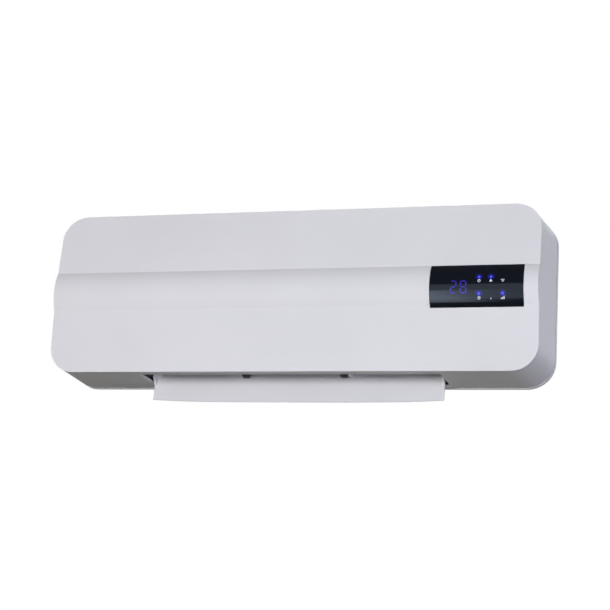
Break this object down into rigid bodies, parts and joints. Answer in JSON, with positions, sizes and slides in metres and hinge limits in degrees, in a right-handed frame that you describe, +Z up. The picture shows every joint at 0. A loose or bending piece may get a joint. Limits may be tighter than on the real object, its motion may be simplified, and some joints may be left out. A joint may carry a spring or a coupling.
{
  "type": "wall-mounted ceramic fan heater",
  "caption": "Long wall-mounted ceramic fan heater with a curved band across its front, a dark display window and a swing flap under its air outlet.",
  "frame": {"origin": "on the wall, midway between the two screw holes of the wall bracket", "axes": "+X along the heater to the right as seen from the front, +Y into the wall, +Z up"},
  "size_m": [0.5517, 0.0965, 0.2079],
  "materials": {
    "shell_white": "satin",
    "window_black": "gloss",
    "dark_plastic": "satin",
    "duct_grey": "matt",
    "lamp_plastic": "satin",
    "relay_blue": "satin",
    "wire_red": "satin",
    "board_green": "satin",
    "zinc_steel": "zinc plated",
    "stack_steel": "dull",
    "coil_copper": "enamelled wire",
    "brass_parts": "satin",
    "fin_aluminium": "bare",
    "ceramic_cream": "unglazed",
    "rubber_black": "matt"
  },
  "bodies": {
    "casing": {"front_shell": "shell_white", "rear_chassis": "shell_white", "wall_bracket": "zinc_steel", "case_screws": "zinc_steel", "display_window": "window_black", "display_board": "board_green", "display_screws": "zinc_steel", "digit_display": "lamp_plastic", "indicator_lamps": "lamp_plastic", "ir_receiver": "dark_plastic", "intake_grille": "shell_white", "dust_filter": "duct_grey", "duct_rear": "duct_grey", "duct_front": "duct_grey", "duct_end_left": "duct_grey", "duct_end_right": "duct_grey", "duct_screws": "zinc_steel", "outlet_grille": "duct_grey", "block_frame": "ceramic_cream", "ceramic_bars": "ceramic_cream", "heating_fins": "fin_aluminium", "block_terminals": "brass_parts", "thermal_cutout": "dark_plastic", "thermal_fuse": "ceramic_cream", "fan_bearing": "brass_parts", "bearing_rubber": "rubber_black", "motor_stator": "stack_steel", "motor_coil": "coil_copper", "motor_bracket_inner": "zinc_steel", "motor_bracket_outer": "zinc_steel", "motor_bushes": "brass_parts", "motor_screws": "zinc_steel", "flap_hooks": "dark_plastic", "swing_motor": "zinc_steel", "swing_motor_screws": "zinc_steel", "control_board": "board_green", "board_screws": "zinc_steel", "relays": "relay_blue", "transformer": "stack_steel", "terminal_block": "lamp_plastic", "switch_housing": "dark_plastic", "cable_gland": "dark_plastic", "wiring_loom": "wire_red", "display_ribbon": "duct_grey"},
    "fan": {"fan_wheel": "duct_grey", "fan_stub_shaft": "zinc_steel", "motor_shaft": "zinc_steel", "motor_rotor": "stack_steel"},
    "flap": {"flap": "shell_white", "swing_motor_shaft": "brass_parts"},
    "rocker": {"rocker": "dark_plastic"}
  },
  "joints": [
    {"name": "fan_spin", "type": "hinge", "parent": "casing", "child": "fan", "pos_m": [0, -0.048, -0.016], "axis": [1, 0, 0], "continuous": true},
    {"name": "flap_swing", "type": "hinge", "parent": "casing", "child": "flap", "pos_m": [0, -0.041, -0.1355], "axis": [1, 0, 0], "range_deg": [-83, 7]},
    {"name": "rocker_tilt", "type": "hinge", "parent": "casing", "child": "rocker", "pos_m": [-0.26847, -0.04376, -0.054], "axis": [0, 0, 1], "range_deg": [-20, 0]}
  ]
}
